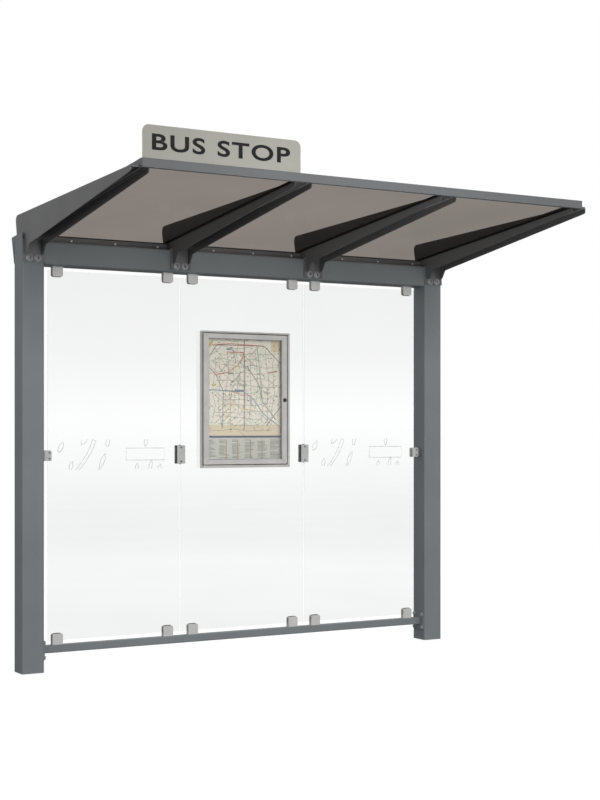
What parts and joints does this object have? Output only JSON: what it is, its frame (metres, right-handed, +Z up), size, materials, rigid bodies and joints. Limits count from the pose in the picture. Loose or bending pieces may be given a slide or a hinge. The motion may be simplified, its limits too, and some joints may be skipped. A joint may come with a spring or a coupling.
{
  "type": "bus shelter",
  "caption": "Cantilevered bus shelter with square posts, a frameless glazed back wall, tapered roof arms, a smoked roof, a name sign and a lockable notice case.",
  "frame": {"origin": "centre of the left post's foot, on its flat underside, seen from the road", "axes": "+X along the width from the left post to the right post, +Y to the back (the road is on the -Y side), +Z up"},
  "size_m": [2.62, 1.486, 2.584],
  "materials": {
    "frame_paint": "satin powder coat, mid blue-grey",
    "sign_face": "satin beige-grey coat",
    "clamp_metal": "cast, satin",
    "case_aluminium": "fine satin anodised",
    "bolt_steel": "stainless, satin",
    "glass_clear": "clear toughened glass",
    "roof_smoked": "smoked bronze sheet, translucent",
    "seal_rubber": "matt black",
    "board_white": "smooth white coat",
    "poster_paper": "printed map, satin",
    "case_glazing": "clear",
    "lock_black": "moulded, black",
    "cap_black": "moulded, dark grey"
  },
  "bodies": {
    "shelter": {"post_left": "frame_paint", "post_right": "frame_paint", "foot_plate_left": "frame_paint", "foot_plate_right": "frame_paint", "post_caps": "cap_black", "top_beam": "frame_paint", "bottom_rail": "frame_paint", "rail_end_plates": "frame_paint", "rail_bolts": "bolt_steel", "glass_panel_left": "glass_clear", "glass_panel_middle": "glass_clear", "glass_panel_right": "glass_clear", "top_glass_clamps": "clamp_metal", "bottom_glass_clamps": "clamp_metal", "joint_clamp_left": "clamp_metal", "joint_clamp_right": "clamp_metal", "side_clamp_left": "clamp_metal", "side_clamp_right": "clamp_metal", "side_brackets": "frame_paint", "roof_arm_1": "frame_paint", "roof_arm_2": "frame_paint", "roof_arm_3": "frame_paint", "roof_arm_4": "frame_paint", "arm_bolts": "bolt_steel", "roof_panel_left": "roof_smoked", "roof_panel_middle": "roof_smoked", "roof_panel_right": "roof_smoked", "roof_seals": "seal_rubber", "roof_back_strips": "frame_paint", "strip_screws": "bolt_steel", "roof_fascia": "frame_paint", "sign_plate": "sign_face", "sign_screws": "bolt_steel", "rear_gutter": "frame_paint", "gutter_end_left": "frame_paint", "gutter_end_right": "frame_paint", "notice_case": "case_aluminium", "notice_backboard": "board_white", "notice_poster": "poster_paper", "notice_fixings": "bolt_steel"},
    "notice_door": {"notice_door_frame": "case_aluminium", "notice_door_glazing": "case_glazing", "notice_lock": "lock_black", "notice_door_pivots": "bolt_steel"}
  },
  "joints": [
    {"name": "notice_door_hinge", "type": "hinge", "parent": "shelter", "child": "notice_door", "pos_m": [0.988, -0.044, 1.4165], "axis": [0, 0, -1], "range_deg": [0, 110]}
  ]
}
